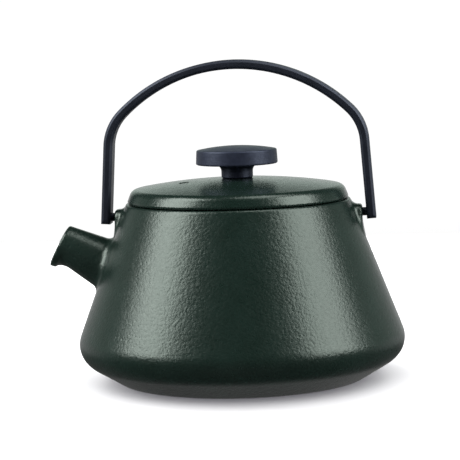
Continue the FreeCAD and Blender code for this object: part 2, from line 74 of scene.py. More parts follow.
# lid
LID_RADIUS, LID_UNDER = 61.3, 98.3
LID_EDGE = math.radians(22.0)
LID_SHOULDER, LID_SHOULDER_ROUND = 105.4, 4.5
LID_APEX, LID_WALL, LID_EDGE_ROUND = 110.6, 4.0, 1.1
SKIRT_RADIUS, SKIRT_WALL, SKIRT_BOTTOM, SKIRT_ROOT = 54.6, 3.4, 94.1, 0.4
VENT_REACH, VENT_SIDE, VENT_RADIUS, VENT_EDGE = 28.5, 10.3, 2.2, 1.0
SCREW_HOLE, SCREW_EDGE = 2.6, 0.1
DOME_STEP, UNDER_STEP = math.radians(0.4), math.radians(0.6)
LID_CELL, LID_SKIN = 0.75, 0.015
# knob
KNOB_RADIUS, KNOB_DRAFT, KNOB_UNDER, KNOB_EDGE, KNOB_APEX = 22.55, 0.45, 118.2, 126.1, 128.3
NECK_RADIUS, NECK_BLEND, KNOB_ROUND = 8.7, 4.0, 0.9
KNOB_BORE, KNOB_BORE_TOP, KNOB_BORE_EDGE = 2.05, 120.1, 0.3
KNOB_STEP, KNOB_PARTS = 0.45, 320
# bail
BAIL_APEX, CROWN_RADIUS, BEND_RADIUS = 172.77, 89.2, 26.8
LEAN, HALF_SPAN = math.radians(3.85), 73.04
BAR_THICK, BAR_DEPTH, BAR_BEVEL, BEVEL_ROUND = 5.1, 13.4, 1.35, 0.3
BAIL_FOOT, FOOT_CORNER = 86.8, 2.5
BAR_STEP, BEVEL_STEP = 0.9, math.radians(12)
# how many places along the bar its section is drawn at
CORNER_STATIONS, LEG_STATIONS, BEND_STATIONS, CROWN_STATIONS = 12, 60, 48, 60
# infuser basket
BASKET_RADIUS, SHEET, BASKET_BOTTOM = 47.5, 0.8, 36.0
FLANGE_RADIUS, HEM = 54.6, 6.0
HOLE_PITCH, HOLE_RADIUS, PLAIN_BAND = 2.6, 0.6, 2.0
HOLE_SIDES, FLOOR_PARTS = 8, 192
HEM_EDGE, CREASE, FLANGE_EDGE_SHARE = 0.3, 0.05, 0.45
RIM_STEP, RIM_ROUND_STEP, RIM_PARTS = 1.5, math.radians(15), 256


# ---------------------------------------------------------------- sections

def rounding(before, corner, after, radius, step=math.radians(6)):
    """The points of the arc that rounds a corner."""
    c, a, b = (np.array(p[:2], float) for p in (corner, before, after))
    u, v = (a - c) / np.linalg.norm(a - c), (b - c) / np.linalg.norm(b - c)
    half = math.acos(float(np.clip(u @ v, -1, 1))) / 2
    middle = c + (u + v) / np.linalg.norm(u + v) * radius / math.sin(half)
    return arc(middle, c + u * radius / math.tan(half), c + v * radius / math.tan(half), step)


def arc(middle, start, end, step=math.radians(6)):
    """Points round middle, from start the short way to end."""
    s, e = start - middle, end - middle
    first = math.atan2(s[1], s[0])
    turn = (math.atan2(e[1], e[0]) - first + math.pi) % (2 * math.pi) - math.pi
    count = max(3, int(abs(turn) / step) + 2)
    angles = first + np.linspace(0, turn, count)
    radius = np.linalg.norm(s)
    return [middle + radius * np.array([math.cos(t), math.sin(t)]) for t in angles]


def section(corners):
    """A section's points from its corners, of which a third number is the rounding."""
    points = []
    last = len(corners) - 1
    for i, corner in enumerate(corners):
        if len(corner) > 2 and 0 < i < last:
            points += rounding(corners[i - 1], corner, corners[i + 1], corner[2])
        else:
            points.append(np.array(corner[:2], float))
    return points


def domed(lower, edge, apex, radius):
    """From the side line between lower and edge, round the edge and over a dome to its apex."""
    lower, edge = np.array(lower, float), np.array(edge, float)
    rise = apex - edge[1]
    big = (edge[0] ** 2 + rise ** 2) / (2 * rise)
    centre = np.array([0.0, apex - big])
    along = (edge - lower) / np.linalg.norm(edge - lower)
    inward = np.array([-along[1], along[0]])
    start = lower + inward * radius
    b = (start - centre) @ along
    c = (start - centre) @ (start - centre) - (big - radius) ** 2
    middle = start + along * (math.sqrt(b * b - c) - b)
    on_dome = centre + (middle - centre) / np.linalg.norm(middle - centre) * big
    shoulder = arc(middle, middle - inward * radius, on_dome)
    over = arc(centre, on_dome, np.array([0.0, apex]), DOME_STEP)
    return shoulder + over[1:]


def field(points, spacing=0.25, margin=9.0):
    """The signed distance to a section that starts and ends on the axis, turned round it."""
    half = np.array(points)
    full = np.vstack([half, (half * [-1, 1])[::-1][1:-1]])
    low = np.array([-2.0, half[:, 1].min() - margin])
    high = half.max(axis=0) + margin
    shape = np.ceil((high - low) / spacing).astype(int) + 1
    r, z = np.meshgrid(*(low[k] + spacing * np.arange(shape[k]) for k in (0, 1)), indexing="ij")
    nearest = np.full(r.shape, np.inf)
    inside = np.zeros(r.shape, bool)
    for a, b in zip(full, np.roll(full, -1, axis=0)):
        run = b - a
        length = run @ run
        if length < 1e-12:
            continue
        t = np.clip(((r - a[0]) * run[0] + (z - a[1]) * run[1]) / length, 0, 1)
        gap = np.hypot(r - a[0] - t * run[0], z - a[1] - t * run[1])
        nearest = np.minimum(nearest, gap)
        if a[1] != b[1]:
            crosses = (a[1] > z) != (b[1] > z)
            inside ^= crosses & (r < a[0] + (z - a[1]) / run[1] * run[0])
    table = np.where(inside, -nearest, nearest)

    def distance(p):
        """Bilinear in the table of distances."""
        at = (np.stack([np.hypot(p[:, 0], p[:, 1]), p[:, 2]], axis=1) - low) / spacing
        at = np.clip(at, 0, shape - 1.001)
        cell = at.astype(int)
        i, j = cell.T
        u, v = (at - cell).T
        return (
            table[i, j] * (1 - u) * (1 - v) + table[i + 1, j] * u * (1 - v)
            + table[i, j + 1] * (1 - u) * v + table[i + 1, j + 1] * u * v
        )

    return distance


def both(a, b, radius):
    """Where two solids overlap, with the edge between them rounded."""
    corner = np.hypot(np.maximum(a + radius, 0), np.maximum(b + radius, 0))
    return np.minimum(np.maximum(a, b), -radius) + corner


def either(a, b, radius):
    """Two solids joined, with the corner between them filled to a radius."""
    return -both(-a, -b, radius)


# ---------------------------------------------------------------- meshes

def new_piece(name, points, faces, smooth=True):
    """An object in the scene from points in millimetres."""
    mesh = bpy.data.meshes.new(name)
    mesh.from_pydata((np.asarray(points) * MM).tolist(), [], faces)
    mesh.validate()
    mesh.polygons.foreach_set("use_smooth", [smooth] * len(mesh.polygons))
    mesh.update()
    made = bpy.data.objects.new(name, mesh)
    scene.collection.objects.link(made)
    return made


def settle(points, distance, steps=4, reach=0.02, most=0.6, flattest=0.3):
    """The points moved onto the surface where the distance is nought, with their normals."""
    for _ in range(steps):
        slope = np.stack([
            distance(points + reach * axis) - distance(points - reach * axis)
            for axis in np.eye(3)
        ], axis=1) / (2 * reach)
        size = np.maximum(np.linalg.norm(slope, axis=1), flattest)
        move = np.clip(distance(points) / size, -most, most)
        points = points - slope / size[:, None] * move[:, None]
    return points, slope / size[:, None]


# The share of a point's own place that is kept when the cells are evened out, and the share
# that its neighbours have.
KEPT, SHARED = 0.4, 0.6
# The casting's skin: the size of its lumps, a finer set of lumps over them, and the height
# above the foot that they fade in over, so that the pot still stands flat.
LUMP_SIZE, FINER_LUMPS, FINER_DEPTH, FLAT_FOOT = 4.0, 2.1, 0.5, 2.0


def cast(name, node, cell, distance, skin):
    """A piece in place of a CAD node: its mesh in even cells, drawn onto a surface with the
    rounded edges and blended roots of a casting, and with the casting's uneven skin."""
    rough = bpy.data.objects.new(name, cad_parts[node].data.copy())
    rough.data.materials.clear()
    scene.collection.objects.link(rough)
    cells = rough.modifiers.new("cells", "REMESH")
    cells.mode = "VOXEL"
    cells.voxel_size = cell * MM * 1.0
    graph = bpy.context.evaluated_depsgraph_get()
    rough.data = bpy.data.meshes.new_from_object(rough.evaluated_get(graph))
    rough.modifiers.clear()
    mesh = rough.data
    count = len(mesh.vertices)
    points = np.zeros(count * 3)
    mesh.vertices.foreach_get("co", points)
    points = points.reshape(-1, 3) / MM
    ends = np.zeros(len(mesh.edges) * 2, int)
    mesh.edges.foreach_get("vertices", ends)
    a, b = ends.reshape(-1, 2).T
    degree = np.bincount(np.concatenate([a, b]), minlength=count)[:, None]
    points, _ = settle(points, distance, steps=5)
    for _ in range(3):
        total = np.stack([
            np.bincount(a, points[b, k], count) + np.bincount(b, points[a, k], count)
            for k in range(3)
        ], axis=1)
        points, normals = settle(points * KEPT + total / degree * SHARED, distance, steps=2)
    lumps = np.array([
        noise.noise(Vector(p)) + FINER_DEPTH * noise.noise(Vector(p * FINER_LUMPS))
        for p in points / LUMP_SIZE
    ])
    clear_of_foot = np.clip(points[:, 2] / FLAT_FOOT, 0, 1)
    points = points + normals * (skin * lumps * clear_of_foot)[:, None]
    mesh.vertices.foreach_set("co", (points * MM).ravel())
    mesh.polygons.foreach_set("use_smooth", [True] * len(mesh.polygons))
    mesh.update()
    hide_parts(node)
    return rough


def turned(name, points, parts):
    """A closed section turned round the Z axis. Points on the axis close to one vertex."""
    angles = np.arange(parts) * 2 * math.pi / parts
    vertices, rings = [], []
    for r, z in points:
        if r < ON_AXIS:
            rings.append([len(vertices)] * parts)
            vertices.append((0.0, 0.0, z))
        else:
            rings.append(list(range(len(vertices), len(vertices) + parts)))
            vertices += [(r * math.cos(t), r * math.sin(t), z) for t in angles]
    faces = []
    closed = points[0][0] > ON_AXIS or points[-1][0] > ON_AXIS
    pairs = list(zip(rings, rings[1:])) + ([(rings[-1], rings[0])] if closed else [])
    for low, high in pairs:
        for k in range(parts):
            n = (k + 1) % parts
            loop = [low[k], low[n], high[n], high[k]]
            face = list(dict.fromkeys(loop))
            if len(face) > 2:
                faces.append(face)
    return new_piece(name, vertices, faces)


def stepped(points, longest):
    """The same run of points with extra ones wherever two are further apart than longest."""
    dense = [points[0]]
    for a, b in zip(points, points[1:]):
        count = max(1, math.ceil(np.linalg.norm(np.subtract(b, a)) / longest))
        dense += [a + (np.array(b) - a) * k / count for k in range(1, count + 1)]
    return dense


# ---------------------------------------------------------------- pot

WALL_SLOPE = (BELLY[0] - RIM[0]) / (RIM[1] - BELLY[1])


def wall_inside(z):
    """The radius of the pot's inner wall at a height."""
    outside = RIM[0] + (RIM[1] - z) * WALL_SLOPE
    return outside - WALL / math.cos(math.atan(WALL_SLOPE))


def make_pot():
    """The pot with its spout, drip lip and ears, all one casting."""
    body = field(section([(0, 0), FOOT, BELLY, RIM, (0, RIM[1])]))
    inner_belly = BELLY[1] + INNER_BELLY_RISE
    shoulder = SEAT_HEIGHT - INNER_SHOULDER_DROP
    hollow = field(section([
        (0, FLOOR),
        (FOOT[0], FLOOR, FOOT[2]),
        (wall_inside(inner_belly), inner_belly, BELLY[2] - WALL),
        (wall_inside(shoulder), shoulder, MOUTH_RING),
        (MOUTH_RADIUS, SEAT_HEIGHT - MOUTH_RING, MOUTH_ROUND),
        (MOUTH_RADIUS, SEAT_HEIGHT, MOUTH_ROUND),
        (SEAT_RADIUS, SEAT_HEIGHT, LEDGE_ROUND),
        (SEAT_RADIUS, RIM[1] + CUT_ABOVE_RIM),
        (0, RIM[1] + CUT_ABOVE_RIM),
    ]))
    inwards = np.array([math.cos(SPOUT_RISE), 0, -math.sin(SPOUT_RISE)])
    down = np.array([-math.sin(SPOUT_RISE), 0, -math.cos(SPOUT_RISE)])

    def along_spout(p):
        """Depth behind the mouth, height below its centre line, and distance from that line."""
        q = p - SPOUT_MOUTH
        depth, below = q @ inwards, q @ down
        return depth, below, np.hypot(below, q[:, 1])

    def distance(p):
        """From points to the pot's surface, less than nought in the metal."""
        depth, below, radius = along_spout(p)
        tube = (radius - SPOUT_TIP - depth * math.tan(SPOUT_TAPER)) * math.cos(SPOUT_TAPER)
        lip = np.hypot(below - LIP_DROP, p[:, 1]) - LIP_RADIUS
        web = (lip + WEB_STEP) * math.cos(SPOUT_RISE) + (depth - LIP_THICK) * math.sin(SPOUT_RISE)
        lip = both(lip, depth - LIP_THICK, MOUTH_ROUND)
        lip = either(lip, np.maximum(web, -depth), LIP_BLEND)
        spout = both(either(tube, lip, 2 * LIP_BLEND), -depth, MOUTH_ROUND)
        spout = np.maximum(spout, depth - SPOUT_LENGTH)
        lean = below / np.maximum(radius, ON_AXIS)
        blend = ROOT_BLEND_TOP + (ROOT_BLEND_BOTTOM - ROOT_BLEND_TOP) * (lean + 1) / 2
        solid = either(body(p), spout, blend)
        x, y, z = np.abs(p[:, 0]), np.abs(p[:, 1]), p[:, 2]
        middle, tall = (EAR_TOP + EAR_BOTTOM) / 2, (EAR_TOP - EAR_BOTTOM) / 2
        across = np.stack([y - EAR_HALF, np.abs(z - middle) - tall]) + EAR_CORNER
        tab = np.hypot(*np.maximum(across, 0)) + np.minimum(across.max(axis=0), 0) - EAR_CORNER
        ear = both(tab, x - EAR_REACH, EAR_ROUND)
        ear = np.maximum(ear, SEAT_RADIUS - x)
        solid = either(solid, ear, EAR_BLEND)
        solid = both(solid, -hollow(p), RIM_INNER_ROUND)
        bore = radius - BORE_TIP - depth * (BORE_ROOT - BORE_TIP) / SPOUT_LENGTH
        solid = both(solid, -np.maximum(bore, depth - SPOUT_LENGTH), MOUTH_ROUND)
        socket = np.maximum(np.hypot(y, z - PIVOT) - SOCKET_RADIUS, SOCKET_REACH - x)
        return both(solid, -socket, SOCKET_EDGE)

    return cast("pot_casting", "pot_body", POT_CELL, distance, POT_SKIN)


# ---------------------------------------------------------------- lid and knob

def make_lid():
    """The domed lid with its locating skirt, steam vent and screw hole."""
    shoulder = (LID_RADIUS - (LID_SHOULDER - LID_UNDER) * math.tan(LID_EDGE), LID_SHOULDER)
    rise = LID_APEX - LID_SHOULDER
    dome = (shoulder[0] ** 2 + rise ** 2) / (2 * rise)
    skirt_in = SKIRT_RADIUS - SKIRT_WALL
    inner = dome - LID_WALL
    skirt_top = LID_APEX - dome + math.sqrt(inner ** 2 - skirt_in ** 2)
    centre = np.array([0.0, LID_APEX - dome])
    under = arc(
        centre, np.array([0.0, LID_APEX - LID_WALL]), np.array([skirt_in, skirt_top]), UNDER_STEP
    )
    side = section([
        (skirt_in, skirt_top),
        (skirt_in, SKIRT_BOTTOM, MOUTH_ROUND),
        (SKIRT_RADIUS, SKIRT_BOTTOM, MOUTH_ROUND),
        (SKIRT_RADIUS, LID_UNDER, SKIRT_ROOT),
        (LID_RADIUS, LID_UNDER, LID_EDGE_ROUND),
        shoulder,
    ])
    over = domed((LID_RADIUS, LID_UNDER), shoulder, LID_APEX, LID_SHOULDER_ROUND)
    shell = field(under[:-1] + side[:-1] + over)

    def distance(p):
        """From points to the lid's surface, less than nought in the metal."""
        vent = np.hypot(p[:, 0] + VENT_REACH, p[:, 1] + VENT_SIDE) - VENT_RADIUS
        screw = np.hypot(p[:, 0], p[:, 1]) - SCREW_HOLE
        return both(both(shell(p), -vent, VENT_EDGE), -screw, SCREW_EDGE)

    return cast("lid_casting", "lid", LID_CELL, distance, LID_SKIN)


def make_knob():
    """The disc knob on its neck, bored from below for the screw."""
    edge = (KNOB_RADIUS - KNOB_DRAFT, KNOB_EDGE)
    low = section([
        (0, KNOB_BORE_TOP),
        (KNOB_BORE, KNOB_BORE_TOP, KNOB_BORE_EDGE),
        (KNOB_BORE, LID_APEX, KNOB_BORE_EDGE),
        (NECK_RADIUS, LID_APEX, KNOB_ROUND),
        (NECK_RADIUS, KNOB_UNDER, NECK_BLEND),
        (KNOB_RADIUS, KNOB_UNDER, KNOB_ROUND),
        edge,
    ])
    points = low[:-1] + domed((KNOB_RADIUS, KNOB_UNDER), edge, KNOB_APEX, KNOB_ROUND)
    made = turned("knob_turning", stepped(points, KNOB_STEP), KNOB_PARTS)
    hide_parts("lid_knob")
    return made


# ---------------------------------------------------------------- bail

def bail_line():
    """The bar's centre line from the rear foot over the crown to the other foot, as points,
    with the direction square to it in the bail's plane."""
    offset = HALF_SPAN * math.cos(LEAN) + PIVOT * math.sin(LEAN)
    crown_centre = BAIL_APEX - CROWN_RADIUS
    step = CROWN_RADIUS - BEND_RADIUS
    angle = math.asin((offset - BEND_RADIUS - crown_centre * math.sin(LEAN)) / step) - LEAN
    bend = np.array([step * math.sin(angle), crown_centre + step * math.cos(angle)])
    top = bend + BEND_RADIUS * np.array([math.cos(LEAN), math.sin(LEAN)])
    foot = np.array([(offset - BAIL_FOOT * math.sin(LEAN)) / math.cos(LEAN), BAIL_FOOT])
    along_leg = np.linspace(0, 1, LEG_STATIONS)
    near_foot = FOOT_CORNER * (1 - np.cos(np.linspace(0, math.pi / 2, CORNER_STATIONS)))
    length = np.linalg.norm(top - foot)
    stations = np.unique(np.concatenate([near_foot / length, along_leg]))
    leg = [foot + (top - foot) * t for t in stations]
    out = np.array([math.cos(LEAN), math.sin(LEAN)])
    points, normals = list(leg), [out] * len(leg)
    for t in np.linspace(LEAN, math.pi / 2 - angle, BEND_STATIONS)[1:]:
        square = np.array([math.cos(t), math.sin(t)])
        points.append(bend + BEND_RADIUS * square)
        normals.append(square)
    for t in np.linspace(math.pi / 2 - angle, math.pi / 2, CROWN_STATIONS)[1:]:
        square = np.array([math.cos(t), math.sin(t)])
        points.append(np.array([0, crown_centre]) + CROWN_RADIUS * square)
        normals.append(square)
    mirror = np.array([-1, 1])
    points += [p * mirror for p in points[-2::-1]]
    normals += [n * mirror for n in normals[-2::-1]]
    return points, normals


def bar_section():
    """The bar's bevelled section as (across the bar's thickness, across its depth)."""
    t, d = BAR_THICK / 2, BAR_DEPTH / 2
    corners = [
        (t - BAR_BEVEL, d), (t, d - BAR_BEVEL), (t, BAR_BEVEL - d), (t - BAR_BEVEL, -d),
        (BAR_BEVEL - t, -d), (-t, BAR_BEVEL - d), (-t, d - BAR_BEVEL), (BAR_BEVEL - t, d),
    ]
    points = []
    for k, corner in enumerate(corners):
        following = corners[(k + 1) % len(corners)]
        points += rounding(corners[k - 1], corner, following, BEVEL_ROUND, BEVEL_STEP)
    return stepped(points + points[:1], BAR_STEP)[:-1]


def make_bail():
    """The bail: its section drawn along its line, with rounded feet."""
    points, normals = bail_line()
    bar = np.array(bar_section())
    half = BAR_DEPTH / 2
    rings = []
    for p, n in zip(points, normals):
        up = abs(p[1] - BAIL_FOOT) / math.cos(LEAN)
        corner = max(FOOT_CORNER - up, 0) if p[1] < BAIL_FOOT + FOOT_CORNER else 0
        narrow = FOOT_CORNER - math.sqrt(max(FOOT_CORNER ** 2 - corner ** 2, 0))
        edge = max(BEVEL_ROUND - up, 0)
        thin = BEVEL_ROUND - math.sqrt(max(BEVEL_ROUND ** 2 - edge ** 2, 0))
        depth = np.clip(bar[:, 1], narrow - half, half - narrow)
        across = bar[:, 0] * (BAR_THICK / 2 - thin) / (BAR_THICK / 2)
        rings.append(np.stack([p[0] + n[0] * across, depth, p[1] + n[1] * across], axis=1))
    count = len(bar)
    vertices = np.vstack(rings)
    faces = []
    for i in range(len(rings) - 1):
        for k in range(count):
            n = (k + 1) % count
            faces.append([i * count + k, i * count + n, (i + 1) * count + n, (i + 1) * count + k])
    faces.append(list(range(count))[::-1])
    faces.append([len(vertices) - count + k for k in range(count)])
    made = new_piece("bail_bar", vertices, faces)
    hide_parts("bail_handle")
    return made


# ---------------------------------------------------------------- infuser

def make_basket_wall():
    """The basket's wall with its rows of round holes, each row half a pitch on from the last."""
    inner, outer = BASKET_RADIUS - SHEET, BASKET_RADIUS
    pitch = HOLE_PITCH * 1
    around = int(2 * math.pi * outer / pitch)
    low, high = BASKET_BOTTOM, SEAT_HEIGHT
    rows = int((high - HEM - low - PLAIN_BAND) / pitch)
    first = low + PLAIN_BAND
    lines = [low] + [first + k * pitch for k in range(rows + 1)] + [high]
    vertices, faces = [], []

    def line_of(radius, z, count, shift=0.0):
        start = len(vertices)
        for k in range(count):
            t = 2 * math.pi * (k + shift) / count
            vertices.append((radius * math.cos(t), radius * math.sin(t), z))
        return start

    ends = []
    holes = []
    for radius, flip in ((outer, 1), (inner, -1)):
        starts = [line_of(radius, z, 2 * around) for z in lines]
        ends.append((starts[0], starts[-1]))
        for lower, upper in ((starts[0], starts[1]), (starts[-2], starts[-1])):
            for k in range(2 * around):
                n = (k + 1) % (2 * around)
                faces.append([lower + k, lower + n, upper + n, upper + k][::flip])
        circles = []
        for row in range(rows):
            odd = row % 2
            middle = first + (row + 0.5) * pitch
            sides = line_of(radius, middle, around, odd / 2)
            for j in range(around):
                b = [(2 * j + odd + k) % (2 * around) for k in range(3)]
                lower, upper = starts[row + 1], starts[row + 2]
                # the eight points round one hole, the same number as the hole has sides
                border = [
                    lower + b[0], lower + b[1], lower + b[2], sides + (j + 1) % around,
                    upper + b[2], upper + b[1], upper + b[0], sides + j,
                ]
                centre = 2 * math.pi * (j + 0.5 + odd / 2) / around
                ring = []
                for k in range(HOLE_SIDES):
                    t = math.radians(225 + 360 * k / HOLE_SIDES)
                    turn = centre + HOLE_RADIUS * pitch / HOLE_PITCH * math.cos(t) / outer
                    rise = middle + HOLE_RADIUS * pitch / HOLE_PITCH * math.sin(t)
                    ring.append(len(vertices))
                    vertices.append((radius * math.cos(turn), radius * math.sin(turn), rise))
                circles.append(ring)
                for k in range(HOLE_SIDES):
                    n = (k + 1) % HOLE_SIDES
                    faces.append([border[k], border[n], ring[n], ring[k]][::flip])
        holes.append(circles)
    for outside, inside in zip(*holes):
        for k in range(HOLE_SIDES):
            n = (k + 1) % HOLE_SIDES
            faces.append([outside[k], outside[n], inside[n], inside[k]])
    for k in range(2 * around):
        n = (k + 1) % (2 * around)
        (o_low, o_high), (i_low, i_high) = ends
        faces.append([o_low + n, o_low + k, i_low + k, i_low + n])
        faces.append([o_high + k, o_high + n, i_high + n, i_high + k])
    made = new_piece("basket_wall", vertices, faces)
    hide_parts("infuser_wall")
    return made


def make_basket_floor():
    """The basket's floor, a disc with holes on a triangular grid."""
    radius = BASKET_RADIUS - SHEET
    pitch = HOLE_PITCH * 1
    hole = HOLE_RADIUS * pitch / HOLE_PITCH
    row_step = pitch * math.sqrt(3) / 2
    reach = radius - PLAIN_BAND
    count = int(reach / row_step)
    centres = []
    for row in range(-count, count + 1):
        shift = pitch / 2 * (row % 2)
        for column in range(-int(reach / pitch) - 1, int(reach / pitch) + 2):
            c = (column * pitch + shift, row * row_step)
            if math.hypot(*c) < reach - hole:
                centres.append(c)
    flat, edges = [], []

    def loop(x, y, r, parts):
        start = len(flat)
        for k in range(parts):
            t = 2 * math.pi * k / parts
            flat.append(Vector((x + r * math.cos(t), y + r * math.sin(t))))
            edges.append((start + k, start + (k + 1) % parts))

    loop(0, 0, radius, FLOOR_PARTS)
    for x, y in centres:
        loop(x, y, hole, HOLE_SIDES)
    any_triangles, weld = 0, 1e-5
    made = delaunay_2d_cdt(flat, edges, [], any_triangles, weld)
    points, triangles = np.array([tuple(v) for v in made[0]]), np.array(made[2])
    middles = points[triangles].mean(axis=1)
    within_hole = hole * 0.8
    keep = np.ones(len(triangles), bool)
    for x, y in centres:
        keep &= np.hypot(middles[:, 0] - x, middles[:, 1] - y) > within_hole
    triangles = triangles[keep]
    total = len(points)
    top = np.column_stack([points, np.full(total, BASKET_BOTTOM + SHEET)])
    under = np.column_stack([points, np.full(total, BASKET_BOTTOM)])
    faces = triangles.tolist() + (triangles[:, ::-1] + total).tolist()
    directed = {(t[k], t[(k + 1) % 3]) for t in triangles.tolist() for k in range(3)}
    for a, b in directed:
        if (b, a) not in directed:
            faces.append([b, a, a + total, b + total])
    piece = new_piece("basket_floor", np.vstack([top, under]), faces, smooth=False)
    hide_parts("infuser_floor")
    return piece


def make_basket_rim():
    """The basket's collar, turned out at the top to the flange that it hangs by."""
    inner = BASKET_RADIUS - 2 * SHEET
    top = SEAT_HEIGHT + SHEET
    edge = SHEET * FLANGE_EDGE_SHARE
    corners = [
        (inner, SEAT_HEIGHT - HEM, HEM_EDGE),
        (inner + SHEET, SEAT_HEIGHT - HEM, HEM_EDGE),
        (inner + SHEET, SEAT_HEIGHT, CREASE),
        (FLANGE_RADIUS, SEAT_HEIGHT, edge),
        (FLANGE_RADIUS, top, edge),
        (inner, top, SHEET),
    ]
    points = []
    for k, corner in enumerate(corners):
        following = corners[(k + 1) % len(corners)]
        points += rounding(corners[k - 1], corner, following, corner[2], RIM_ROUND_STEP)
    made = turned("basket_rim", stepped(points, RIM_STEP), RIM_PARTS)
    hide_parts("infuser_rim")
    return made


# ---------------------------------------------------------------- materials

def set_range(node, start, end, low, high):
    """Sets a node to map values from start to end onto low to high."""
    for key, limit in (("From Min", start), ("From Max", end), ("To Min", low), ("To Max", high)):
        node.inputs[key].default_value = limit


class Finish:
    """A node material under construction."""

    def __init__(self, name):
        self.material = bpy.data.materials.new(name)
        self.material.use_nodes = True
        self.tree = self.material.node_tree
        self.tree.nodes.clear()
        self.shader = self.add("ShaderNodeBsdfPrincipled")
        out = self.add("ShaderNodeOutputMaterial")
        self.link(self.shader.outputs["BSDF"], out.inputs["Surface"])
        self.place = self.add("ShaderNodeTexCoord").outputs["Object"]

    def add(self, kind, **settings):
        made = self.tree.nodes.new(kind)
        for key, value in settings.items():
            setattr(made, key, value)
        return made

    def link(self, a, b):
        self.tree.links.new(a, b)

    def stretched(self, scale):
        """The object's coordinates, scaled along each axis."""
        mapping = self.add("ShaderNodeMapping")
        mapping.inputs["Scale"].default_value = scale
        self.link(self.place, mapping.inputs["Vector"])
        return mapping.outputs["Vector"]

    def around_axis(self):
        """Coordinates that stay the same round the Z axis, for the marks of turning."""
        apart = self.add("ShaderNodeSeparateXYZ")
        self.link(self.place, apart.inputs["Vector"])
        radius = self.add("ShaderNodeVectorMath", operation="LENGTH")
        self.link(self.stretched((1, 1, 0)), radius.inputs[0])
        rings = self.add("ShaderNodeCombineXYZ")
        self.link(radius.outputs["Value"], rings.inputs["X"])
        self.link(apart.outputs["Z"], rings.inputs["Z"])
        return rings.outputs["Vector"]

    def grain(self, size, detail=2.0, roughness=0.5, place=None):
        """Noise with features of a size in millimetres."""
        made = self.add("ShaderNodeTexNoise")
        made.inputs["Scale"].default_value = 1 / (size * MM)
        made.inputs["Detail"].default_value = detail
        made.inputs["Roughness"].default_value = roughness
        self.link(place or self.place, made.inputs["Vector"])
        return made.outputs["Fac"]

    def between(self, value, low, high, start=0.3, end=0.7):
        """The value from start to end of its range, mapped to low to high."""
        made = self.add("ShaderNodeMapRange")
        set_range(made, start, end, low, high)
        self.link(value, made.inputs["Value"])
        return made.outputs["Result"]

    def mixed(self, share, a, b):
        """Two colours mixed by a value."""
        made = self.add("ShaderNodeMix", data_type="RGBA")
        self.link(share, made.inputs["Factor"])
        made.inputs["A"].default_value = (*a, 1)
        made.inputs["B"].default_value = (*b, 1)
        return made.outputs["Result"]

    def bump(self, height, deep, under=None):
        """A bump of a depth in millimetres, over another if given."""
        made = self.add("ShaderNodeBump")
        made.inputs["Distance"].default_value = deep * MM
        made.inputs["Strength"].default_value = 1.0
        self.link(height, made.inputs["Height"])
        if under is not None:
            self.link(under, made.inputs["Normal"])
        return made.outputs["Normal"]

    def set(self, **values):
        """Sets sockets of the shader, or links them."""
        for key, value in values.items():
            socket = self.shader.inputs[key.replace("_", " ")]
            if isinstance(value, bpy.types.NodeSocket):
                self.link(value, socket)
            else:
                socket.default_value = value


FINE_SHARE = 0.15
GLOSS_RANGE = 0.07
DEEP_GREEN, MID_GREEN = (0.0043, 0.0112, 0.0083), (0.0060, 0.0142, 0.0110)
DEEP_NAVY, MID_NAVY = (0.0045, 0.0054, 0.0085), (0.0070, 0.0084, 0.0135)
DEEP_BLUE, MID_BLUE = (0.0090, 0.0115, 0.0200), (0.0165, 0.0200, 0.0345)
DULL_STEEL, BRIGHT_STEEL = (0.56, 0.565, 0.57), (0.63, 0.63, 0.625)
DARK_RUBBER, DUSTY_RUBBER = (0.045, 0.046, 0.048), (0.07, 0.071, 0.073)
PAPER_LOW, PAPER_HIGH = (0.55, 0.55, 0.552), (0.56, 0.56, 0.562)
GREEN_SHEEN, NAVY_SHEEN, BLUE_SHEEN = (0.86, 1.0, 0.90, 1), (0.70, 0.80, 1.0, 1), (0.66, 0.76, 1.0, 1)
PAPER_GLOW = (1.0, 0.97, 1.12, 1)


def green_enamel(name, relief, gloss):
    """Thick glossy enamel over the relief of a sand casting, in millimetres."""
    f = Finish(name)
    broad = f.grain(size=14, detail=3)
    skin = f.grain(size=1.5)
    fine = f.grain(size=0.5)
    f.set(
        Base_Color=f.mixed(f.between(broad, 0, 1), DEEP_GREEN, MID_GREEN),
        Roughness=f.between(skin, gloss, gloss + GLOSS_RANGE),
        Specular_Tint=GREEN_SHEEN,
        Normal=f.bump(fine, relief * FINE_SHARE, under=f.bump(skin, relief)),
    )
    return f.material


def navy_coat():
    """The satin coat of the bail and its pins."""
    f = Finish("navy_coat")
    broad = f.grain(size=9, detail=3)
    skin = f.grain(size=0.7, detail=2.5, roughness=0.6)
    f.set(
        Base_Color=f.mixed(f.between(broad, 0, 1), DEEP_NAVY, MID_NAVY),
        Roughness=f.between(skin, low=0.42, high=0.52),
        Specular_Tint=NAVY_SHEEN,
        Normal=f.bump(skin, deep=0.05),
    )
    return f.material


def turned_coat():
    """The knob's coat, over faint marks of turning."""
    f = Finish("turned_coat")
    streaks = f.grain(size=0.35, detail=3, roughness=0.6, place=f.around_axis())
    mottle = f.grain(size=2.5, detail=3, roughness=0.6)
    f.set(
        Base_Color=f.mixed(f.between(mottle, 0, 1), DEEP_BLUE, MID_BLUE),
        Roughness=f.between(streaks, low=0.38, high=0.52),
        Specular_Tint=BLUE_SHEEN,
        Normal=f.bump(streaks, deep=0.06, under=f.bump(mottle, deep=0.09)),
    )
    return f.material


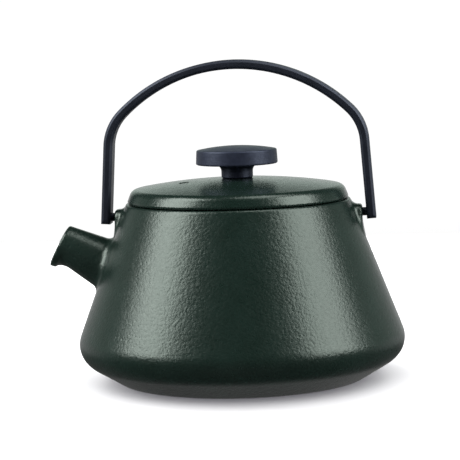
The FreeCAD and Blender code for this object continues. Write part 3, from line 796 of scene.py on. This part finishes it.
def stainless_steel():
    """Steel brushed round the axis, for the basket and the knob's fixing."""
    f = Finish("stainless_steel")
    brushed = f.grain(size=0.12, roughness=0.6, place=f.around_axis())
    cloud = f.grain(size=12)
    f.set(
        Base_Color=f.mixed(f.between(cloud, 0, 1), DULL_STEEL, BRIGHT_STEEL),
        Roughness=f.between(brushed, low=0.24, high=0.36),
        Normal=f.bump(brushed, deep=0.01),
        Metallic=1.0,
    )
    return f.material


def silicone():
    """The soft washer's rubber."""
    f = Finish("silicone")
    dust = f.grain(size=1.2, detail=3)
    f.set(
        Base_Color=f.mixed(f.between(dust, 0, 1), DARK_RUBBER, DUSTY_RUBBER),
        Roughness=f.between(dust, low=0.6, high=0.72),
        Normal=f.bump(f.grain(size=0.4), deep=0.02),
    )
    return f.material


# ---------------------------------------------------------------- the object

def finish_piece(piece, body, material):
    """Gives a piece its material, and the body that it moves with."""
    piece.data.materials.clear()
    piece.data.materials.append(material)
    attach(piece, body)


pot_enamel = green_enamel("pot_enamel", relief=0.16, gloss=0.27)
lid_enamel = green_enamel("lid_enamel", relief=0.09, gloss=0.23)
coat, knob_coat = navy_coat(), turned_coat()
steel, rubber = stainless_steel(), silicone()

finish_piece(make_pot(), "pot", pot_enamel)
finish_piece(make_lid(), "lid", lid_enamel)
finish_piece(make_knob(), "lid", knob_coat)
finish_piece(make_bail(), "bail", coat)
finish_piece(make_basket_wall(), "infuser", steel)
finish_piece(make_basket_floor(), "infuser", steel)
finish_piece(make_basket_rim(), "infuser", steel)

# pieces that are shown as the CAD model has them
CARRIED_OVER = {
    "front_bail_pin": ("navy_coat", coat),
    "rear_bail_pin": ("navy_coat", coat),
    "knob_screw": ("stainless_steel", steel),
    "knob_washer": ("stainless_steel", steel),
    "knob_gasket": ("silicone", rubber),
}
for node, (slot, material) in CARRIED_OVER.items():
    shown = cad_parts[node]
    shown.data.materials.clear()
    shown.data.materials.append(material)


# ---------------------------------------------------------------- floor, light and camera

def paper():
    """The white paper that the teapot stands on."""
    f = Finish("paper")
    weave = f.grain(size=3, detail=3)
    f.set(
        Base_Color=f.mixed(f.between(weave, 0, 1), PAPER_LOW, PAPER_HIGH),
        Roughness=f.between(weave, low=0.85, high=0.95),
        Emission_Color=PAPER_GLOW,
        Emission_Strength=0.10,
    )
    return f.material


FLOOR_HALF = 700.0
floor = new_piece(
    "floor",
    [(-FLOOR_HALF, -FLOOR_HALF, 0), (FLOOR_HALF, -FLOOR_HALF, 0),
     (FLOOR_HALF, FLOOR_HALF, 0), (-FLOOR_HALF, FLOOR_HALF, 0)],
    [[0, 1, 2, 3]], smooth=False,
)
floor.data.materials.append(paper())
floor.visible_glossy = False


SOFTBOX_AIM = (0, 0, 0.06)


def softbox(name, direction, distance, wide, tall, radiance):
    """A panel of even radiance that faces the object and lights everything but the floor.
    Its sizes are in metres."""
    lamp = bpy.data.lights.new(name, "AREA")
    lamp.shape = "RECTANGLE"
    lamp.size, lamp.size_y = wide, tall
    lamp.energy = radiance * math.pi * wide * tall
    made = bpy.data.objects.new(name, lamp)
    away = Vector(direction).normalized()
    made.location = Vector(SOFTBOX_AIM) + away * distance
    made.rotation_mode = "QUATERNION"
    made.rotation_quaternion = away.to_track_quat("Z", "Y")
    scene.collection.objects.link(made)
    linked = bpy.data.collections.new(name)
    linked.objects.link(floor)
    made.light_linking.receiver_collection = linked
    linked.collection_objects[0].light_linking.link_state = "EXCLUDE"
    return made


def floor_light(name, direction, irradiance, spread):
    """Far light over the spread of an angle that falls on the floor alone."""
    lamp = bpy.data.lights.new(name, "SUN")
    lamp.energy = irradiance
    lamp.angle = math.radians(spread)
    made = bpy.data.objects.new(name, lamp)
    made.rotation_euler = Vector(direction).to_track_quat("Z", "Y").to_euler()
    scene.collection.objects.link(made)
    linked = bpy.data.collections.new(name)
    linked.objects.link(floor)
    made.light_linking.receiver_collection = linked
    return made


floor_light("ceiling_light", direction=(0.0, 0.0, 1.0), irradiance=5.4, spread=150)
floor_light("left_floor_light", direction=(-0.76, 0.58, 0.34), irradiance=6.0, spread=60)
floor_light("right_floor_light", direction=(0.60, 0.76, 0.34), irradiance=3.9, spread=60)
softbox(
    "left_softbox", direction=(-0.75, -0.29, 0.60), distance=1.1, wide=0.68, tall=1.0, radiance=9.2
)
softbox(
    "right_softbox", direction=(0.84, -0.26, 0.49), distance=1.1, wide=0.72, tall=0.9, radiance=7.0
)
softbox(
    "top_softbox", direction=(0.28, -0.10, 0.95), distance=1.2, wide=0.70, tall=0.60, radiance=4.2
)

world = bpy.data.worlds.new("studio")
scene.world = world
world.use_nodes = True
nodes, links = world.node_tree.nodes, world.node_tree.links
nodes.clear()
apart = nodes.new("ShaderNodeSeparateXYZ")
links.new(nodes.new("ShaderNodeTexCoord").outputs["Generated"], apart.inputs["Vector"])


def fade(axis, start, end, low, high):
    """A smooth change of brightness with the direction's share of an axis."""
    made = nodes.new("ShaderNodeMapRange")
    made.interpolation_type = "SMOOTHSTEP"
    set_range(made, start, end, low, high)
    links.new(apart.outputs[axis], made.inputs["Value"])
    return made.outputs["Result"]


def joined(operation, a, b):
    """Two brightnesses added or multiplied."""
    made = nodes.new("ShaderNodeMath")
    made.operation = operation
    links.new(a, made.inputs[0])
    links.new(b, made.inputs[1])
    return made.outputs["Value"]


def product(first, *others):
    """Several brightnesses multiplied."""
    for other in others:
        first = joined("MULTIPLY", first, other)
    return first


wall_behind = product(
    fade("Y", -0.1, 0.6, 0.03, 1.05),  # it stands at the back
    fade("Z", 0.1, 0.52, 1.0, 0.05),  # it ends some way up
    fade("Z", -0.28, -0.08, 0.0, 1.0),  # and below
    fade("X", -0.5, -0.25, 0.45, 1.0),  # it dims to the left
    fade("X", 0.15, 0.4, 1.0, 0.45),  # and to the right
)
under = product(
    fade("Z", -0.35, -0.15, 0.6, 0.0),  # light off the paper, from below
    fade("Y", 0.0, 0.5, 0.08, 0.46),  # most of it from the back
    fade("X", -0.4, -0.1, 0.4, 1.0),  # it dims to the left
    fade("X", 0.1, 0.4, 1.0, 0.4),  # and to the right
)
light = joined("ADD", wall_behind, under)
WHITE, ABOVE_TINT = (1, 1, 1, 1), (0.88, 1.02, 0.94, 1)
tint = nodes.new("ShaderNodeMix")
tint.data_type = "RGBA"
tint.inputs["A"].default_value = WHITE
tint.inputs["B"].default_value = ABOVE_TINT
links.new(fade("Z", 0.04, 0.12, 0.0, 1.0), tint.inputs["Factor"])
glow = nodes.new("ShaderNodeBackground")
links.new(tint.outputs["Result"], glow.inputs["Color"])
links.new(light, glow.inputs["Strength"])
out = nodes.new("ShaderNodeOutputWorld")
links.new(glow.outputs["Background"], out.inputs["Surface"])

# The camera looks at the teapot from in front, with the spout on the left. It stands a little
# to the right of square-on and a little above, and is rolled. Its distances are in metres.
YAW, DIP, ROLL = math.radians(5.0), math.radians(5.996), math.radians(-1.802)
DISTANCE, AIM_SIDE, AIM_HEIGHT, LENS, FARTHEST = 1.09386, -0.00493, 0.08169, 155.15, 20
looking = Vector((-math.sin(YAW) * math.cos(DIP), math.cos(YAW) * math.cos(DIP), -math.sin(DIP)))
right = Vector((math.cos(YAW), math.sin(YAW), 0))
up = right.cross(looking)
turn = Matrix((right, up, -looking)).transposed().to_4x4() @ Matrix.Rotation(ROLL, 4, "Z")
eye = bpy.data.objects.new("camera", bpy.data.cameras.new("camera"))
eye.data.lens = LENS
eye.data.clip_end = FARTHEST
eye.matrix_world = (
    Matrix.Translation(right * AIM_SIDE + Vector((0, 0, AIM_HEIGHT)) - looking * DISTANCE) @ turn
)
scene.collection.objects.link(eye)
scene.camera = eye
